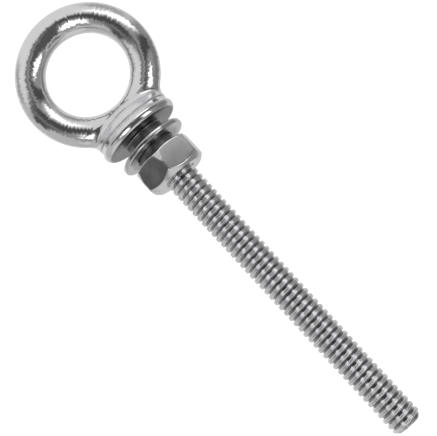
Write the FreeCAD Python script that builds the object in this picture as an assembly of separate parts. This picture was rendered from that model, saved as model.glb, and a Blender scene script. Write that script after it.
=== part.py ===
import FreeCAD, Part
import math
import os

# Lifting eye bolt with a collared shoulder, a loose flat washer and a hex nut.
# The frame: the origin is the centre of the collar's seat, the shank runs down -Z and the eye stands
# up +Z in the XZ plane, so the axis of its hole is Y. Every size is in millimetres.

# Eye: a round bar bent into a ring.
HOLE_RADIUS = 7.95
BAR_RADIUS = 2.82
LAND_DEPTH = 0.04
EYE_CENTRE_Z = 15.36

# Shoulder: the flare that spreads the foot of the eye onto the collar. Each section is an ellipse,
# as (height, half-width along X, half-width along Y). The lowest lies inside the collar.
SHOULDER_SECTIONS = (
    (1.87, 7.84, 7.84),
    (3.6, 7.80, 5.35),
    (5.6, 8.20, 2.20),
)
SHOULDER_FILLET = 1.5

# Collar: a disc with a rounded rim, a little fuller above its widest point than below it. It is
# flat underneath, where it seats on the work.
RIM_RADIUS = 8.06
LOWER_RIM_ROUND = 1.15
UPPER_RIM_ROUND = 1.45
COLLAR_TOP_Z = LOWER_RIM_ROUND + UPPER_RIM_ROUND

# Neck: the smooth cylinder between the collar and the thread.
NECK_RADIUS = 3.97
NECK_LENGTH = 4.9
NECK_FILLET = 0.2

# Thread: 1/4 inch, 20 turns to the inch, coarse, right-hand, 60 degrees.
PITCH = 1.27
BASIC_PITCH_DIAMETER = 5.5245
FLANK_SLOPE = math.tan(math.radians(30.0))
BOLT_THREAD = {"major": 6.31, "pitch": 5.43, "minor": 4.80}
NUT_THREAD = {"major": 6.46, "pitch": 5.63, "minor": 5.06}
RELIEF_RADIUS = 2.35
RELIEF_LENGTH = 0.7
SHANK_END_Z = -69.85
END_CHAMFER = 0.95

# Flat washer, hanging loose and a little askew on the neck.
WASHER_RADIUS = 6.85
WASHER_BORE_RADIUS = 4.2
WASHER_THICKNESS = 1.0
WASHER_EDGE_RADIUS = 0.3
WASHER_CENTRE_X = -0.1
WASHER_CENTRE_Z = -2.9
WASHER_TILT_ABOUT_X = -2.4
WASHER_TILT_ABOUT_Y = -2.4

# Hex nut, screwed up to the end of the neck. Its chamfer is deeper and steeper at the bottom.
NUT_ACROSS_FLATS = 11.11
NUT_HEIGHT = 5.4
NUT_TOP_FACE_RADIUS = 5.53
NUT_TOP_CHAMFER_SLOPE = math.tan(math.radians(30.0))
NUT_BOTTOM_FACE_RADIUS = 5.0
NUT_BOTTOM_CHAMFER_SLOPE = math.tan(math.radians(42.0))
NUT_COUNTERSINK_RADIUS = 3.4
NUT_TURN = 5.4

X_AXIS = FreeCAD.Vector(1, 0, 0)
Y_AXIS = FreeCAD.Vector(0, 1, 0)
Z_AXIS = FreeCAD.Vector(0, 0, 1)
ORIGIN = FreeCAD.Vector(0, 0, 0)


def rz(radius, z):
    """A point of a lathe profile, in the half-plane X >= 0."""
    return FreeCAD.Vector(radius, 0, z)


def line(start, end):
    return Part.LineSegment(start, end).toShape()


def arc(start, middle, end):
    return Part.Arc(start, middle, end).toShape()


def lathe(edges):
    """Turn a closed profile about Z."""
    face = Part.Face(Part.Wire(edges))
    return face.revolve(ORIGIN, Z_AXIS, 360)


def polygon_lathe(points):
    corners = [rz(radius, z) for radius, z in points]
    return lathe([line(a, b) for a, b in zip(corners, corners[1:] + corners[:1])])


def helix(radius, z):
    """One right-hand turn, starting in the half-plane X >= 0 at height z."""
    wire = Part.makeHelix(PITCH, PITCH, radius, 0)
    wire.translate(FreeCAD.Vector(0, 0, z))
    return wire.Edges[0]


def thread_corners(sizes):
    """One pitch of the thread's profile as (radius, height), from one root corner to the next."""
    ridge_at_pitch = PITCH / 2 + (sizes["pitch"] - BASIC_PITCH_DIAMETER) * FLANK_SLOPE
    crest = sizes["major"] / 2
    root = sizes["minor"] / 2
    half_crest = ridge_at_pitch / 2 - (crest - BASIC_PITCH_DIAMETER / 2) * FLANK_SLOPE
    half_base = ridge_at_pitch / 2 + (BASIC_PITCH_DIAMETER / 2 - root) * FLANK_SLOPE
    return [
        (root, -half_base),
        (crest, -half_crest),
        (crest, half_crest),
        (root, half_base),
        (root, PITCH - half_base),
    ]


def threaded_rod(sizes, bottom, turns):
    """A solid rod with a helical ridge, whose ends are left rough for trimming."""
    corners = thread_corners(sizes)
    strips = []
    for (inner_radius, inner_z), (outer_radius, outer_z) in zip(corners, corners[1:]):
        strip = Part.makeRuledSurface(helix(inner_radius, inner_z), helix(outer_radius, outer_z))
        strips.append(strip)
    faces = []
    for turn in range(turns):
        lift = FreeCAD.Vector(0, 0, bottom + turn * PITCH)
        faces.extend(strip.translated(lift) for strip in strips)
    root, start = corners[0]
    for level in (0, turns):
        lift = bottom + level * PITCH
        axis_line = line(rz(0, lift + start), rz(0, lift + start + PITCH))
        faces.append(Part.makeRuledSurface(axis_line, helix(root, lift + start)))
        outline = [rz(radius, lift + z) for radius, z in corners]
        outline += [rz(0, lift + start + PITCH), rz(0, lift + start)]
        edges = [line(a, b) for a, b in zip(outline, outline[1:] + outline[:1])]
        faces.append(Part.Face(Part.Wire(edges)))
    shell = Part.makeShell(faces)
    shell.sewShape()
    return Part.makeSolid(shell)


def make_shank():
    """The threaded shank, from its chamfered tip up to the neck."""
    top = -NECK_LENGTH
    turns = math.ceil((top - SHANK_END_Z) / PITCH) + 2
    rod = threaded_rod(BOLT_THREAD, SHANK_END_Z - PITCH, turns)
    clear = BOLT_THREAD["major"] / 2 + 0.5
    tip_radius = BOLT_THREAD["major"] / 2 - END_CHAMFER
    envelope = polygon_lathe([
        (0, SHANK_END_Z),
        (tip_radius, SHANK_END_Z),
        (clear, SHANK_END_Z + clear - tip_radius),
        (clear, top - RELIEF_LENGTH),
        (0, top - RELIEF_LENGTH),
    ])
    relief = Part.makeCylinder(RELIEF_RADIUS, 2 * RELIEF_LENGTH, rz(0, top - 1.5 * RELIEF_LENGTH))
    return rod.common(envelope).fuse(relief)


def make_collar_and_neck():
    """The turned neck and collar, as one lathe profile."""
    fillet_centre_reach = NECK_FILLET * (1 - math.sqrt(0.5))
    neck_top = rz(NECK_RADIUS, -NECK_FILLET)
    fillet_middle = rz(NECK_RADIUS + fillet_centre_reach, -fillet_centre_reach)
    seat_inner = rz(NECK_RADIUS + NECK_FILLET, 0)
    low, high = LOWER_RIM_ROUND, UPPER_RIM_ROUND
    lean = 1 - math.sqrt(0.5)
    seat_outer = rz(RIM_RADIUS - low, 0)
    lower_rim = rz(RIM_RADIUS - low * lean, low * lean)
    rim = rz(RIM_RADIUS, low)
    upper_rim = rz(RIM_RADIUS - high * lean, COLLAR_TOP_Z - high * lean)
    crown = rz(RIM_RADIUS - high, COLLAR_TOP_Z)
    crown_centre = rz(0, COLLAR_TOP_Z)
    neck_end = rz(NECK_RADIUS, -NECK_LENGTH)
    return lathe([
        line(rz(0, -NECK_LENGTH), neck_end),
        line(neck_end, neck_top),
        arc(neck_top, fillet_middle, seat_inner),
        line(seat_inner, seat_outer),
        arc(seat_outer, lower_rim, rim),
        arc(rim, upper_rim, crown),
        line(crown, crown_centre),
        line(crown_centre, rz(0, -NECK_LENGTH)),
    ])


def make_shoulder():
    """The flare from the round collar up to the foot of the eye."""
    wires = []
    for z, half_x, half_y in SHOULDER_SECTIONS:
        centre = FreeCAD.Vector(0, 0, z)
        end_x = centre + X_AXIS * half_x
        end_y = centre + Y_AXIS * half_y
        if half_x == half_y:
            curve = Part.Circle(centre, Z_AXIS, half_x)
        else:
            curve = Part.Ellipse(end_x, end_y, centre)
        wires.append(Part.Wire(curve.toShape()))
    return Part.makeLoft(wires, True, False)


def make_eye():
    """The ring. Its bar comes a hair inside the hole, which is then cut to size."""
    centre = FreeCAD.Vector(0, 0, EYE_CENTRE_Z)
    ring_radius = HOLE_RADIUS - LAND_DEPTH + BAR_RADIUS
    return Part.makeTorus(ring_radius, BAR_RADIUS, centre, Y_AXIS)


def blend_eye_into_shoulder():
    """The eye and the shoulder as one, with a fillet along the two seams where they meet."""
    head = make_eye().fuse(make_shoulder())
    seams = []
    for edge in head.Edges:
        above_collar = edge.BoundBox.ZMin > COLLAR_TOP_Z
        if above_collar and isinstance(edge.Curve, Part.BSplineCurve):
            seams.append(edge)
    return head.makeFillet(SHOULDER_FILLET, seams)


def make_eye_bolt():
    body = blend_eye_into_shoulder().fuse(make_collar_and_neck())
    hole_start = FreeCAD.Vector(0, -RIM_RADIUS, EYE_CENTRE_Z)
    hole = Part.makeCylinder(HOLE_RADIUS, 2 * RIM_RADIUS, hole_start, Y_AXIS)
    return body.cut(hole).fuse(make_shank())


def make_flat_washer():
    edge = WASHER_EDGE_RADIUS
    half = WASHER_THICKNESS / 2
    reach = edge * (1 - math.sqrt(0.5))
    washer = lathe([
        line(rz(WASHER_BORE_RADIUS, -half), rz(WASHER_RADIUS - edge, -half)),
        arc(rz(WASHER_RADIUS - edge, -half), rz(WASHER_RADIUS - reach, -half + reach),
            rz(WASHER_RADIUS, -half + edge)),
        line(rz(WASHER_RADIUS, -half + edge), rz(WASHER_RADIUS, half - edge)),
        arc(rz(WASHER_RADIUS, half - edge), rz(WASHER_RADIUS - reach, half - reach),
            rz(WASHER_RADIUS - edge, half)),
        line(rz(WASHER_RADIUS - edge, half), rz(WASHER_BORE_RADIUS, half)),
        line(rz(WASHER_BORE_RADIUS, half), rz(WASHER_BORE_RADIUS, -half)),
    ])
    washer.rotate(ORIGIN, X_AXIS, WASHER_TILT_ABOUT_X)
    washer.rotate(ORIGIN, Y_AXIS, WASHER_TILT_ABOUT_Y)
    washer.translate(FreeCAD.Vector(WASHER_CENTRE_X, 0, WASHER_CENTRE_Z))
    return washer


def make_hex_nut():
    """The nut, chamfered at both ends, its thread in step with the shank's."""
    top = -NECK_LENGTH
    bottom = top - NUT_HEIGHT
    corner_radius = NUT_ACROSS_FLATS / math.sqrt(3)
    corners = []
    for index in range(7):
        angle = math.radians(-90 - NUT_TURN + 60 * index)
        across = corner_radius * math.cos(angle)
        along = corner_radius * math.sin(angle)
        corners.append(FreeCAD.Vector(across, along, bottom))
    prism = Part.Face(Part.makePolygon(corners)).extrude(FreeCAD.Vector(0, 0, NUT_HEIGHT))
    spread = corner_radius + 0.5
    top_drop = (spread - NUT_TOP_FACE_RADIUS) * NUT_TOP_CHAMFER_SLOPE
    bottom_drop = (spread - NUT_BOTTOM_FACE_RADIUS) * NUT_BOTTOM_CHAMFER_SLOPE
    blank = prism.common(polygon_lathe([
        (0, bottom),
        (NUT_BOTTOM_FACE_RADIUS, bottom),
        (spread, bottom + bottom_drop),
        (spread, top - top_drop),
        (NUT_TOP_FACE_RADIUS, top),
        (0, top),
    ]))
    # The tap is the shank's own thread, a little larger, on the same turns of the helix.
    turns_down = math.ceil((bottom - SHANK_END_Z) / PITCH) - 3
    tap_start = SHANK_END_Z + turns_down * PITCH
    tap_turns = math.ceil((top - tap_start) / PITCH) + 2
    tap = threaded_rod(NUT_THREAD, tap_start, tap_turns)
    entry = NUT_COUNTERSINK_RADIUS
    return blank.cut(tap).cut(polygon_lathe([
        (0, bottom),
        (entry, bottom),
        (0, bottom + entry),
    ])).cut(polygon_lathe([
        (0, top),
        (entry, top),
        (0, top - entry),
    ]))


NODES = {
    "eye_bolt": make_eye_bolt,
    "flat_washer": make_flat_washer,
    "hex_nut": make_hex_nut,
}

os.makedirs("parts", exist_ok=True)
for name, make in NODES.items():
    shape = make()
    solids = shape.Solids
    if len(solids) != 1 or not solids[0].isValid():
        raise SystemExit(f"{name} isn't one valid solid")
    solids[0].exportStep(f"parts/{name}.step")
    print(name, round(solids[0].Volume, 1), "mm3", solids[0].BoundBox)
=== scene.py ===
import math

import bmesh
import bpy
import numpy as np
from mathutils import Matrix, Vector


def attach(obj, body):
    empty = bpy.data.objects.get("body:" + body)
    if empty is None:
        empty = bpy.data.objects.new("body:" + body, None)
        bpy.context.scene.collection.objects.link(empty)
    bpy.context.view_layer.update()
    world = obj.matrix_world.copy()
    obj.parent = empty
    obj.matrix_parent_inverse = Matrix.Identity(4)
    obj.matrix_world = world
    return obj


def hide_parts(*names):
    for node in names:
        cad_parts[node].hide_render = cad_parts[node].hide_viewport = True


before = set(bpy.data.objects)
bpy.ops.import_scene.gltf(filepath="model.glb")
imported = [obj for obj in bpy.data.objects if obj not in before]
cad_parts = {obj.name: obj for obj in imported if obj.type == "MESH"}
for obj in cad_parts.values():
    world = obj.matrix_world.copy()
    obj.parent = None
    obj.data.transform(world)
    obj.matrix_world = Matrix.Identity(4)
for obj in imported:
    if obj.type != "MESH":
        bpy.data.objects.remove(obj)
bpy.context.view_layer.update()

# Driving dimensions of the eye bolt, in millimetres, in the frame of the CAD part: the origin is the
# centre of the collar's seat, the shank runs down -Z and the axis of the eye's hole is Y. The ring and
# the rim are a few microns slimmer than the part's, so that they stay inside its faceted outline, and the
# nut's hidden thread is wider than the part's, so that it clears the fuller crests of the shank.
MM = 0.001
HOLE_RADIUS = 7.95
BAR_RADIUS = 2.82
RING_RADIUS = 10.726
EYE_CENTRE_Z = 15.36
SHOULDER_SECTIONS = ((1.87, 7.84, 7.84), (3.6, 7.80, 5.35), (5.6, 8.20, 2.20))
SHOULDER_BLEND = 0.9
RIM_RADIUS = 8.048
LOWER_RIM_ROUND = 1.15
UPPER_RIM_ROUND = 1.45
NECK_RADIUS = 3.97
NECK_END_Z = -4.9
PITCH = 1.27
CREST_RADIUS = 3.155
ROOT_RADIUS = 2.45
RELIEF_Z = -5.6
TIP_Z = -69.85
TIP_CHAMFER = 0.95
WASHER_RADIUS = 6.85
WASHER_BORE_RADIUS = 4.2
WASHER_THICKNESS = 1.0
WASHER_X = -0.1
WASHER_Z = -2.9
WASHER_TILT = math.radians(-2.4)
NUT_ACROSS_FLATS = 11.11
NUT_BOTTOM_Z = -10.3
NUT_TOP_FACE_RADIUS = 5.53
NUT_TOP_CHAMFER = math.radians(30.0)
NUT_BOTTOM_FACE_RADIUS = 5.0
NUT_BOTTOM_CHAMFER = math.radians(42.0)
NUT_CREST_RADIUS = 2.53
NUT_ROOT_RADIUS = 3.23
NUT_RIDGE = 0.80
NUT_COUNTERSINK_RADIUS = 3.4
NUT_TURN = math.radians(5.4)
FLANK_SLOPE = math.tan(math.radians(30.0))

# Shape of the details: how full the crests of the rolled thread are and how wide its valleys, the seam
# that rolling leaves along each crest, the nut's corners, which fall away towards the top where the
# steel didn't fill the die, and the crease between the shoulder and the collar.
CREST_FULLNESS = 2.0
VALLEY_WIDTH = 1.2
SEAM_DEPTH = 0.20
SEAM_WIDTH = 0.11
CORNER_ROUND = 0.25
CORNER_TOP_RADIUS = 5.99
CORNER_DRAFT = 0.155
CREASE_DEPTH = 0.14
CREASE_WIDTH = 0.28
LAND_BLEND = 0.04
SEAT_BLEND = 0.35
CHAMFER_BLEND = 0.06
NUT_FACE_BLEND = 0.10
THREAD_BLEND = 0.04
THREAD_STEEPNESS = 0.85
RELIEF_RUNOUT = 0.35
RELIEF_DEPTH = 0.05
WASHER_BORE_EDGE = 0.10
WASHER_RIM_EDGE = 0.30


# Shapes as signed fields: negative inside, positive outside, and close to a distance near the surface.

def smooth_union(a, b, blend):
    mix = np.clip(0.5 + 0.5 * (b - a) / blend, 0.0, 1.0)
    return b * (1.0 - mix) + a * mix - blend * mix * (1.0 - mix)


def smooth_common(a, b, blend):
    return -smooth_union(-a, -b, blend)


def quadratic_through(heights, values):
    """Coefficients of the parabola through three (height, value) pairs."""
    return np.polyfit(heights, values, 2)


SHOULDER_Z = [section[0] for section in SHOULDER_SECTIONS]
HALF_X = quadratic_through(SHOULDER_Z, [section[1] for section in SHOULDER_SECTIONS])
HALF_Y = quadratic_through(SHOULDER_Z, [section[2] for section in SHOULDER_SECTIONS])


def eye_field(x, y, z):
    reach = np.hypot(x, z - EYE_CENTRE_Z)
    ring = np.hypot(reach - RING_RADIUS, y) - BAR_RADIUS
    return smooth_common(ring, HOLE_RADIUS - reach, LAND_BLEND)


def shoulder_field(x, y, z):
    level = np.clip(z, SHOULDER_Z[0], SHOULDER_Z[-1])
    half_x, half_y = np.polyval(HALF_X, level), np.polyval(HALF_Y, level)
    slope_x, slope_y = np.polyval(np.polyder(HALF_X), level), np.polyval(np.polyder(HALF_Y), level)
    size = np.sqrt((x / half_x) ** 2 + (y / half_y) ** 2) + 1e-6
    across = (x / half_x**2) / size
    along = (y / half_y**2) / size
    up = -((x**2) * slope_x / half_x**3 + (y**2) * slope_y / half_y**3) / size
    wall = (size - 1.0) / np.sqrt(across**2 + along**2 + up**2 + 1e-9)
    return np.maximum(wall, np.maximum(SHOULDER_Z[0] - z, z - SHOULDER_Z[-1]))


def collar_field(x, y, z):
    radius = np.hypot(x, y)
    rise = z - LOWER_RIM_ROUND
    rounding = np.where(rise < 0, LOWER_RIM_ROUND, UPPER_RIM_ROUND)
    disc = np.hypot(np.maximum(radius - RIM_RADIUS + rounding, 0.0), rise) - rounding
    neck = np.maximum(radius - NECK_RADIUS, np.maximum(z - 1.0, NECK_END_Z - z))
    return smooth_union(disc, neck, SEAT_BLEND)


def head_field(x, y, z):
    upper = smooth_union(eye_field(x, y, z), shoulder_field(x, y, z), SHOULDER_BLEND)
    collar = collar_field(x, y, z)
    crease = CREASE_DEPTH * np.exp(-(upper**2 + collar**2) / CREASE_WIDTH**2)
    return np.minimum(upper, collar) + crease


def from_ridge(phase):
    """Height from the middle of the nearest ridge of the thread."""
    return np.abs((phase + PITCH / 2) % PITCH - PITCH / 2)


def rolled_radius(phase):
    """Radius of the shank's rolled thread: round crests, with the seam that rolling leaves on them."""
    height = from_ridge(phase)
    share = height / (PITCH / 2)
    round_crest = (CREST_RADIUS - ROOT_RADIUS) * (1 - share**CREST_FULLNESS)**VALLEY_WIDTH
    return ROOT_RADIUS + round_crest - SEAM_DEPTH * np.exp(-(height / SEAM_WIDTH)**2)


def tapped_radius(phase):
    """Radius of the nut's tapped thread: 60 degree flanks, trimmed at the crest and the root."""
    middle = (NUT_CREST_RADIUS + NUT_ROOT_RADIUS) / 2
    flank = middle + (NUT_RIDGE / 2 - from_ridge(phase)) / FLANK_SLOPE
    return np.clip(flank, NUT_CREST_RADIUS, NUT_ROOT_RADIUS)


def cone_field(radius, level, face_radius, slope):
    """A chamfer that starts at face_radius where level is 0 and widens below it."""
    return (radius - face_radius) * math.sin(slope) + level * math.cos(slope)


def nut_field(x, y, z):
    radius = np.hypot(x, y)
    angle = np.arctan2(y, x)
    over, under = z - NECK_END_Z, NUT_BOTTOM_Z - z
    body = -NUT_ACROSS_FLATS
    for side in range(6):
        facing = math.radians(-120 + 60 * side) - NUT_TURN
        flat = x * math.cos(facing) + y * math.sin(facing) - NUT_ACROSS_FLATS / 2
        body = smooth_common(body, flat, CORNER_ROUND)
    body = smooth_common(body, radius - CORNER_TOP_RADIUS + CORNER_DRAFT * over, CHAMFER_BLEND)
    body = smooth_common(body, np.maximum(over, under), NUT_FACE_BLEND)
    top = cone_field(radius, over, NUT_TOP_FACE_RADIUS, NUT_TOP_CHAMFER)
    bottom = cone_field(radius, under, NUT_BOTTOM_FACE_RADIUS, NUT_BOTTOM_CHAMFER)
    body = smooth_common(body, top, CHAMFER_BLEND)
    body = smooth_common(body, bottom, CHAMFER_BLEND)
    hole = tapped_radius(z - TIP_Z - PITCH * angle / (2 * math.pi))
    hole = np.maximum(hole, NUT_COUNTERSINK_RADIUS + np.maximum(over, under))
    return smooth_common(body, (hole - radius) * THREAD_STEEPNESS, THREAD_BLEND)


# Meshes from fields.

def surface_net(field, low, high, step):
    """Quads round the zero of a field, with one vertex in each grid cell that the surface crosses."""
    counts = [int(math.ceil((h - l) / step)) + 1 for l, h in zip(low, high)]
    axes = [l + step * np.arange(n) for l, n in zip(low, counts)]
    values = field(*np.meshgrid(*axes, indexing="ij", sparse=True))
    strides = (counts[1] * counts[2], counts[2], 1)
    cells, points, quads = [], [], []
    for axis in range(3):
        near = [slice(1, -1)] * 3
        far = list(near)
        near[axis] = slice(0, -1)
        far[axis] = slice(1, None)
        a, b = values[tuple(near)], values[tuple(far)]
        where = np.argwhere((a < 0) != (b < 0))
        a, b = a[tuple(where.T)], b[tuple(where.T)]
        index = where + 1
        index[:, axis] -= 1
        point = np.array(low) + step * index
        point[:, axis] += step * a / (a - b)
        u, v = (axis + 1) % 3, (axis + 2) % 3
        corner = index @ np.array(strides)
        ring = [corner - strides[u] - strides[v], corner - strides[v], corner, corner - strides[u]]
        quad = np.stack(ring, 1)
        quad[a > 0] = quad[a > 0][:, ::-1]
        quads.append(quad)
        for cell in ring:
            cells.append(cell)
            points.append(point)
    quads = np.concatenate(quads)
    cells, points = np.concatenate(cells), np.concatenate(points)
    names, inverse = np.unique(cells, return_inverse=True)
    share = np.bincount(inverse)
    verts = np.stack([np.bincount(inverse, points[:, k]) / share for k in range(3)], 1)
    return verts, np.searchsorted(names, quads)


def settle(field, verts, steps=3):
    """Newton steps onto the zero of the field."""
    for _ in range(steps):
        value = field(*verts.T)
        slope = np.zeros_like(verts)
        for axis in range(3):
            shift = np.zeros(3)
            shift[axis] = 1e-3
            slope[:, axis] = (field(*(verts + shift).T) - field(*(verts - shift).T)) / 2e-3
        pull = value / np.maximum((slope**2).sum(1), 0.2)
        verts = verts - slope * np.clip(pull, -0.1, 0.1)[:, None]
    return verts


def relax(field, verts, quads, rounds):
    """Even out the quads, keeping the vertices on the surface."""
    ends = np.concatenate([quads[:, [k, (k + 1) % 4]] for k in range(4)])
    share = np.bincount(ends[:, 0], minlength=len(verts))[:, None]
    for _ in range(rounds):
        total = np.stack([np.bincount(ends[:, 0], verts[ends[:, 1], k], len(verts)) for k in range(3)], 1)
        verts = settle(field, 0.5 * verts + 0.5 * total / share, 1)
    return settle(field, verts, 3)


def field_mesh(field, low, high, step, rounds):
    verts, quads = surface_net(field, low, high, step)
    return relax(field, verts, quads, rounds), quads


def add_mesh(name, verts, faces, sharp=40.0):
    mesh = bpy.data.meshes.new(name)
    mesh.from_pydata((np.asarray(verts) * MM).tolist(), [], [list(map(int, f)) for f in faces])
    mesh.validate()
    mesh.shade_smooth()
    mesh.set_sharp_from_angle(angle=math.radians(sharp))
    made = bpy.data.objects.new(name, mesh)
    bpy.context.scene.collection.objects.link(made)
    return made


def shank_mesh(rows_per_pitch=24, columns=72):
    """The threaded shank as one helical sheet of quads, with the rows at each end pressed flat;
    close_ends later fills the two ends with discs.
    """
    top = NECK_END_Z + 0.3
    first = TIP_Z - PITCH
    pitches = int(math.ceil((top - first) / PITCH)) + 1
    rows = pitches * rows_per_pitch + 1
    row, column = np.meshgrid(np.arange(rows), np.arange(columns), indexing="ij")
    angle = 2 * math.pi * column / columns
    phase = PITCH * row / rows_per_pitch
    z = first + phase + PITCH * column / columns
    radius = rolled_radius(phase)
    relief = np.clip((z - RELIEF_Z + RELIEF_RUNOUT) / RELIEF_RUNOUT, 0.0, 1.0)
    radius = radius * (1 - relief) + (ROOT_RADIUS - RELIEF_DEPTH) * relief
    z = np.clip(z, TIP_Z, top)
    radius = np.minimum(radius, CREST_RADIUS - TIP_CHAMFER + (z - TIP_Z))
    verts = np.stack([radius * np.cos(angle), radius * np.sin(angle), z], -1).reshape(-1, 3)
    faces = []
    for r in range(rows - 1):
        for c in range(columns):
            low = r * columns + c
            if c + 1 < columns:
                faces.append((low, low + 1, low + 1 + columns, low + columns))
            elif r + 1 + rows_per_pitch < rows:
                wrap = (r + rows_per_pitch) * columns
                faces.append((low, wrap, wrap + columns, low + columns))
    return verts, faces


def close_ends(made):
    """Merge the rows that were pressed flat at the ends and fill the two round holes."""
    work = bmesh.new()
    work.from_mesh(made.data)
    bmesh.ops.remove_doubles(work, verts=work.verts, dist=1e-7)
    rims = [edge for edge in work.edges if edge.is_boundary]
    bmesh.ops.holes_fill(work, edges=rims, sides=0)
    bmesh.ops.recalc_face_normals(work, faces=work.faces)
    work.to_mesh(made.data)
    work.free()


def make_bolt():
    reach = RING_RADIUS + BAR_RADIUS + 0.3
    low = (-reach, -RIM_RADIUS - 0.3, NECK_END_Z - 0.3)
    high = (reach, RIM_RADIUS + 0.3, EYE_CENTRE_Z + reach)
    head = add_mesh("bolt", *field_mesh(head_field, low, high, HEAD_STEP, 3))
    shank = add_mesh("shank", *shank_mesh())
    close_ends(shank)
    with bpy.context.temp_override(active_object=head, selected_editable_objects=[head, shank]):
        bpy.ops.object.join()
    return head


def make_washer(columns=180, arc_points=6):
    """A turned ring with rounded edges, tilted as it hangs on the neck."""
    half = WASHER_THICKNESS / 2
    profile = []
    for radius, z, outward, rise, edge in (
        (WASHER_BORE_RADIUS, -half, -1, -1, WASHER_BORE_EDGE),
        (WASHER_RADIUS, -half, 1, -1, WASHER_RIM_EDGE),
        (WASHER_RADIUS, half, 1, 1, WASHER_RIM_EDGE),
        (WASHER_BORE_RADIUS, half, -1, 1, WASHER_BORE_EDGE),
    ):
        corner = []
        for k in range(arc_points + 1):
            turn = math.pi / 2 * k / arc_points
            corner.append((
                radius - outward * edge * (1 - math.cos(turn)),
                z - rise * edge * (1 - math.sin(turn)),
            ))
        profile += corner if outward * rise > 0 else corner[::-1]
    verts, faces = [], []
    for column in range(columns):
        angle = 2 * math.pi * column / columns
        for radius, z in profile:
            verts.append((radius * math.cos(angle), radius * math.sin(angle), z))
    rows = len(profile)
    for column in range(columns):
        for row in range(rows):
            here, there = column * rows, (column + 1) % columns * rows
            after = (row + 1) % rows
            faces.append((here + row, there + row, there + after, here + after))
    washer = add_mesh("washer", verts, faces)
    tilt = Matrix.Rotation(WASHER_TILT, 4, "Y") @ Matrix.Rotation(WASHER_TILT, 4, "X")
    washer.data.transform(Matrix.Translation((WASHER_X * MM, 0, WASHER_Z * MM)) @ tilt)
    return washer


def make_nut():
    reach = NUT_ACROSS_FLATS / math.sqrt(3) + 0.4
    low, high = (-reach, -reach, NUT_BOTTOM_Z - 0.3), (reach, reach, NECK_END_Z + 0.3)
    return add_mesh("nut", *field_mesh(nut_field, low, high, NUT_STEP, 2))


# Materials. Noise scales are per metre and bump heights are in millimetres.

WEAR_SCALE = 260.0
RIPPLE_SCALE = 420.0
GRAIN_SCALE = 2600.0
TARNISH_SCALE = 120.0
ROLLED_SCALE = 1300.0
TURNED_ROUGHNESS = 0.22
GROOVE_SCALE = 2600.0
GROOVE_DEPTH = 0.012
STREAK_COUNT = 40.0
STREAK_LENGTH = 60.0
STREAK_TIP = 0.5
# Painted shade: how far the colour of the seat and neck under the collar is darkened.
UNDER_COLLAR_PAINTED_SHADE = 0.32
BRUSHED_ROUGHNESS = 0.10
# Painted shade: how far the colour is darkened round the crease between the shoulder and the collar.
CREASE_PAINTED_SHADE = 0.6
ROLLED_GRAIN = 0.03
# Painted shade: how far the colour of the washer is darkened round its bore.
BORE_PAINTED_SHADE = 0.55
# Painted shade: how far the colour of the thread is darkened at the roots of its valleys.
VALLEY_PAINTED_SHADE = 0.7


class Graph:
    """A node tree that is written as function calls."""

    def __init__(self, tree):
        self.tree = tree
        tree.nodes.clear()

    def node(self, kind, **inputs):
        made = self.tree.nodes.new(kind)
        for key, value in inputs.items():
            self.feed(made.inputs[key], value)
        return made

    def feed(self, socket, value):
        if isinstance(value, bpy.types.NodeSocket):
            self.tree.links.new(value, socket)
        else:
            socket.default_value = value

    def math(self, operation, *values):
        node = self.tree.nodes.new("ShaderNodeMath")
        node.operation = operation
        for socket, value in zip(node.inputs, values):
            self.feed(socket, value)
        return node.outputs[0]

    def dot(self, vector, direction):
        return self.vector("DOT_PRODUCT", vector, direction, output="Value")

    def vector(self, operation, a, b=None, scale=None, output="Vector"):
        node = self.tree.nodes.new("ShaderNodeVectorMath")
        node.operation = operation
        self.feed(node.inputs[0], a)
        if b is not None:
            self.feed(node.inputs[1], b)
        if scale is not None:
            self.feed(node.inputs["Scale"], scale)
        return node.outputs[output]

    def ramp(self, value, low, high, to_low=0.0, to_high=1.0):
        node = self.tree.nodes.new("ShaderNodeMapRange")
        node.interpolation_type = "SMOOTHSTEP"
        for socket, part in zip(node.inputs, (value, low, high, to_low, to_high)):
            self.feed(socket, part)
        return node.outputs[0]

    def mix(self, share, a, b):
        """a where share is 0, b where it is 1."""
        return self.math("MULTIPLY_ADD", share, self.math("SUBTRACT", b, a), a)

    def noise(self, vector, scale, detail=2.0, roughness=0.5):
        node = self.tree.nodes.new("ShaderNodeTexNoise")
        self.feed(node.inputs["Vector"], vector)
        node.inputs["Scale"].default_value = scale
        node.inputs["Detail"].default_value = detail
        node.inputs["Roughness"].default_value = roughness
        return node.outputs[0]


def steel(name, tint, roughness, spread, ripple, grain, zones=None):
    """Bare stainless steel: polish that varies, a slow ripple and a fine grain in the surface."""
    material = bpy.data.materials.new(name)
    material.use_nodes = True
    graph = Graph(material.node_tree)
    place = graph.node("ShaderNodeTexCoord").outputs["Object"]
    worn = graph.noise(place, WEAR_SCALE, 4.0, 0.6)
    rough = graph.ramp(worn, 0.3, 0.7, roughness, roughness + spread)
    slow = graph.noise(place, RIPPLE_SCALE, 2.0, 0.5)
    fine = graph.noise(place, GRAIN_SCALE, 3.0, 0.6)
    height = graph.math("ADD", graph.math("MULTIPLY", slow, ripple), graph.math("MULTIPLY", fine, grain))
    shade = graph.ramp(graph.noise(place, TARNISH_SCALE, 3.0, 0.6), 0.3, 0.7, 0.94, 1.0)
    tip = None
    if zones:
        rough, height, shade, tip = zones(graph, place, rough, height, shade)
    bump = graph.node("ShaderNodeBump", Strength=1.0, Distance=0.001, Height=height).outputs[0]
    if tip:
        bump = buffed_normal(graph, place, bump, tip)
    colour = graph.node("ShaderNodeCombineColor")
    for socket, part in zip(colour.inputs, tint):
        graph.feed(socket, graph.math("MULTIPLY", shade, part))
    surface = graph.node("ShaderNodeBsdfPrincipled", Metallic=1.0, Roughness=rough, Normal=bump)
    graph.feed(surface.inputs["Base Color"], colour.outputs[0])
    output = graph.node("ShaderNodeOutputMaterial")
    graph.feed(output.inputs["Surface"], surface.outputs[0])
    return material


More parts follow.
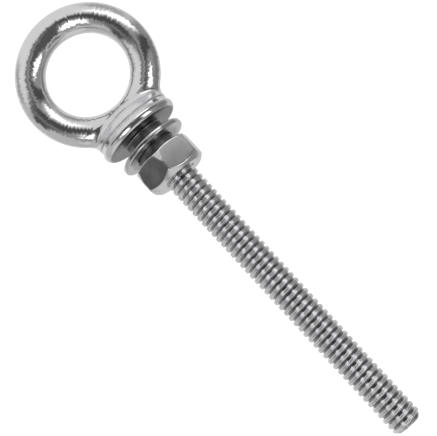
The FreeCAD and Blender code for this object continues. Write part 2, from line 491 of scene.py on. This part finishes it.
def bolt_zones(graph, place, rough, height, shade):
    """The seat and neck are turned and dull, with painted shade in their colour; the shoulder is brushed;
    the thread is grained, with painted shade in its valleys; and a band round the crease above the collar
    carries painted shade too.
    """
    level = graph.dot(place, (0, 0, 1 / MM))
    above_thread = graph.ramp(level, NECK_END_Z - 0.2, NECK_END_Z)
    turned_and_shaded = graph.math("MULTIPLY", graph.ramp(level, 0.05, 0.3, 1.0, 0.0), above_thread)
    brushed = graph.math("MULTIPLY", graph.ramp(level, 2.5, 2.8), graph.ramp(level, 4.5, 7.0, 1.0, 0.0))
    crease = graph.math("MULTIPLY", graph.ramp(level, 2.35, 2.6), graph.ramp(level, 2.7, 3.0, 1.0, 0.0))
    rough = graph.math("MULTIPLY_ADD", turned_and_shaded, TURNED_ROUGHNESS, rough)
    rough = graph.math("MULTIPLY_ADD", brushed, BRUSHED_ROUGHNESS, rough)
    # Painted shade: the colour under the collar, on the seat and neck, is darkened to stand in for the
    # shade between the collar and the washer.
    shade = graph.math("MULTIPLY", shade, graph.mix(turned_and_shaded, 1.0, UNDER_COLLAR_PAINTED_SHADE))
    # Painted shade: the colour is darkened in a band round the crease between the shoulder and the
    # collar.
    shade = graph.math("MULTIPLY", shade, graph.mix(crease, 1.0, CREASE_PAINTED_SHADE))
    height = graph.math("ADD", height, turned_grooves(graph, place))
    on_thread = graph.math("SUBTRACT", 1.0, above_thread)
    rolled = graph.math("MULTIPLY", graph.noise(place, ROLLED_SCALE, 3.0, 0.6), ROLLED_GRAIN)
    height = graph.math("MULTIPLY_ADD", on_thread, rolled, height)
    radius = graph.vector("LENGTH", graph.vector("MULTIPLY", place, (1, 1, 0)), output="Value")
    # Painted shade: the colour of the thread is darkened towards the roots of its valleys.
    valley_painted_shade = graph.ramp(radius, (ROOT_RADIUS + 0.1) * MM, (CREST_RADIUS - 0.1) * MM, VALLEY_PAINTED_SHADE, 1.0)
    shade = graph.math("MULTIPLY", shade, graph.mix(on_thread, 1.0, valley_painted_shade))
    return rough, height, shade, graph.ramp(level, 3.0, 8.0, 0.0, STREAK_TIP)


def washer_zones(graph, place, rough, height, shade):
    """Painted shade: the washer's faces are darkened in colour round the bore, where the washer sits
    between the collar and the nut.
    """
    radius = graph.vector("LENGTH", graph.vector("MULTIPLY", place, (1, 1, 0)), output="Value")
    # Painted shade: the washer's colour is darkened towards the bore, standing in for the shade between
    # the collar and the nut.
    bore_painted_shade = graph.ramp(radius, 4.8 * MM, 6.0 * MM, BORE_PAINTED_SHADE, 1.0)
    return rough, height, graph.math("MULTIPLY", shade, bore_painted_shade), None


def turned_grooves(graph, place):
    """Fine rings left by turning under the collar."""
    flat = graph.vector("MULTIPLY", place, (1, 1, 0))
    radius = graph.vector("LENGTH", flat, output="Value")
    ring = graph.node("ShaderNodeCombineXYZ")
    graph.feed(ring.inputs[0], radius)
    groove = graph.noise(ring.outputs[0], GROOVE_SCALE, 2.0, 0.5)
    level = graph.dot(place, (0, 0, 1 / MM))
    under = graph.ramp(level, 0.05, 0.3, GROOVE_DEPTH, 0.0)
    return graph.math("MULTIPLY", groove, under)


def buffed_normal(graph, place, normal, tip):
    """Tip the ring's surface to and fro about its bar, in streaks that run round the bar."""
    centred = graph.vector("SUBTRACT", place, (0, 0, EYE_CENTRE_Z * MM))
    outward = graph.vector("NORMALIZE", graph.vector("MULTIPLY", centred, (1, 0, 1)))
    along = graph.vector("CROSS_PRODUCT", outward, (0, 1, 0))
    around = graph.vector("CROSS_PRODUCT", along, normal)
    drift = graph.vector("MULTIPLY", centred, (0, 1 / (STREAK_LENGTH * MM), 0))
    streak = graph.noise(graph.vector("ADD", outward, drift), STREAK_COUNT, 2.0, 0.6)
    tip = graph.math("MULTIPLY", graph.math("SUBTRACT", streak, 0.5), tip)
    tipped = graph.vector("SCALE", around, scale=tip)
    return graph.vector("NORMALIZE", graph.vector("ADD", normal, tipped))


# Studio.

def direction(azimuth, elevation):
    """Azimuth 0 is towards the camera and grows to the right; elevation is above the horizon."""
    a, e = math.radians(azimuth), math.radians(elevation)
    return Vector((math.sin(a) * math.cos(e), -math.cos(a) * math.cos(e), math.sin(e)))


def panel_share(graph, ray, azimuth, elevation, roll, half_width, half_height, soft):
    """How much of a rectangular panel a ray meets, from 0 to 1. Sizes are angles, in degrees."""
    ahead = direction(azimuth, elevation)
    across = ahead.cross(Vector((0, 0, 1))).normalized()
    up = across.cross(ahead)
    turn = math.radians(roll)
    side = across * math.cos(turn) + up * math.sin(turn)
    rise = up * math.cos(turn) - across * math.sin(turn)
    depth = graph.dot(ray, ahead)
    share = graph.ramp(depth, 0.02, 0.1)
    depth = graph.math("MAXIMUM", depth, 0.02)
    for axis, half in ((side, half_width), (rise, half_height)):
        offset = graph.math("ABSOLUTE", graph.math("DIVIDE", graph.dot(ray, axis), depth))
        inner = math.tan(math.radians(max(half - soft, 0.1)))
        outer = math.tan(math.radians(half + soft))
        share = graph.math("MULTIPLY", share, graph.ramp(offset, inner, outer, 1.0, 0.0))
    return share


# (azimuth, elevation, roll, half width, half height, softness, brightness) of each panel round the
# object: grey flags first, then the lamps that shine past them.
PANELS = (
    (180, 4, 0, 48, 34, 10, 0.64),
    (-125, -47, 0, 34, 18, 8, 0.72),
    (-100, 45, 0, 22, 16, 8, 0.44),
    (95, 45, 0, 22, 16, 8, 0.44),
    (-96, 0, 0, 34, 30, 8, 0.56),
    (-39, 11, 0, 19, 15, 4, 0.19),
    (-67, 11, 0, 17, 9, 4, 0.10),
    (-15, 9, 0, 16, 12, 4, 0.08),
    (52, 3, 6, 34, 8, 4, 0.08),
    (105, -18, 0, 18, 22, 8, 0.22),
    (9, -30, 0, 17, 32, 4, 0.10),
    (-28, -32, 8, 10, 18, 4, 2.0),
    (-33, -27, 0, 17, 5, 4, 2.0),
    (50, -33, -30, 10, 19, 4, 2.0),
    (40, 27, 14, 20, 8, 6, 1.8),
    (-150, 24, 0, 22, 24, 6, 0.80),
    (0, -86, 0, 16, 16, 8, 0.75),
)
SKY_BRIGHTNESS = 0.78
BACKDROP_BRIGHTNESS = 1.05
GROUND_BRIGHTNESS = 0.32
SKY_EDGE = (math.sin(math.radians(16)), math.sin(math.radians(32)))


def make_world():
    world = bpy.data.worlds.new("studio")
    bpy.context.scene.world = world
    world.use_nodes = True
    graph = Graph(world.node_tree)
    ray = graph.node("ShaderNodeTexCoord").outputs["Generated"]
    rise = graph.dot(ray, (0, 0, 1))
    light = graph.ramp(rise, *SKY_EDGE, GROUND_BRIGHTNESS, SKY_BRIGHTNESS)
    for *shape, brightness in PANELS:
        light = graph.mix(panel_share(graph, ray, *shape), light, brightness)
    seen = graph.node("ShaderNodeLightPath").outputs["Is Camera Ray"]
    light = graph.mix(seen, light, BACKDROP_BRIGHTNESS)
    background = graph.node("ShaderNodeBackground", Strength=light, Color=(1, 1, 1, 1))
    output = graph.tree.nodes.new("ShaderNodeOutputWorld")
    graph.tree.links.new(background.outputs[0], output.inputs["Surface"])


# A little below the lowest place that the nut reaches when it is run off the end of the shank.
FLOOR_Z = -80.0
FLOOR_HALF_WIDTH = 3.0
FLOOR_GREY = 0.4
FLOOR_GLOW = 0.8


def make_floor():
    size, z = FLOOR_HALF_WIDTH, FLOOR_Z * MM
    mesh = bpy.data.meshes.new("floor")
    corners = [(-size, -size, z), (size, -size, z), (size, size, z), (-size, size, z)]
    mesh.from_pydata(corners, [], [(0, 1, 2, 3)])
    floor = bpy.data.objects.new("floor", mesh)
    bpy.context.scene.collection.objects.link(floor)
    material = bpy.data.materials.new("floor_paint")
    material.use_nodes = True
    surface = material.node_tree.nodes["Principled BSDF"]
    surface.inputs["Base Color"].default_value = (FLOOR_GREY, FLOOR_GREY, FLOOR_GREY, 1)
    surface.inputs["Roughness"].default_value = 0.9
    surface.inputs["Emission Color"].default_value = (1, 1, 1, 1)
    surface.inputs["Emission Strength"].default_value = FLOOR_GLOW
    mesh.materials.append(material)
    floor.visible_glossy = False
    return floor


CAMERA_AIM = Vector((-0.08, 0.0, -20.57))
CAMERA_DISTANCE = 200.0
CAMERA_AZIMUTH = -0.43
CAMERA_ELEVATION = -7.49
CAMERA_ROLL = -42.58
CAMERA_LENS = 91.85


def make_camera():
    a, e = math.radians(CAMERA_AZIMUTH), math.radians(CAMERA_ELEVATION)
    forward = Vector((math.sin(a) * math.cos(e), math.cos(a) * math.cos(e), -math.sin(e)))
    level = Vector((math.cos(a), -math.sin(a), 0.0))
    up = level.cross(forward)
    turn = math.radians(CAMERA_ROLL)
    right = level * math.cos(turn) + up * math.sin(turn)
    top = up * math.cos(turn) - level * math.sin(turn)
    place = Matrix((right, top, -forward)).transposed().to_4x4()
    place.translation = (CAMERA_AIM - forward * CAMERA_DISTANCE) * MM
    data = bpy.data.cameras.new("camera")
    data.sensor_width = 36.0
    data.lens = CAMERA_LENS
    data.clip_start = 0.005
    data.clip_end = 10.0
    camera = bpy.data.objects.new("camera", data)
    camera.matrix_world = place
    bpy.context.scene.collection.objects.link(camera)
    bpy.context.scene.camera = camera


HEAD_STEP = 0.15
NUT_STEP = 0.12

POLISHED = steel("polished_steel", (0.80, 0.80, 0.81), 0.05, 0.06, 0.010, 0.0006, bolt_zones)
STAMPED = steel("stamped_steel", (0.63, 0.63, 0.64), 0.10, 0.10, 0.006, 0.0010, washer_zones)
DRAWN = steel("drawn_steel", (0.76, 0.76, 0.77), 0.14, 0.08, 0.002, 0.0020)

PIECES = (
    (make_bolt, "eye_bolt", POLISHED),
    (make_washer, "flat_washer", STAMPED),
    (make_nut, "hex_nut", DRAWN),
)
for make, node, finish in PIECES:
    piece = make()
    piece.data.materials.clear()
    piece.data.materials.append(finish)
    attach(piece, node)
    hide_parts(node)

make_world()
make_floor()
make_camera()
bpy.context.scene.view_settings.view_transform = "Standard"
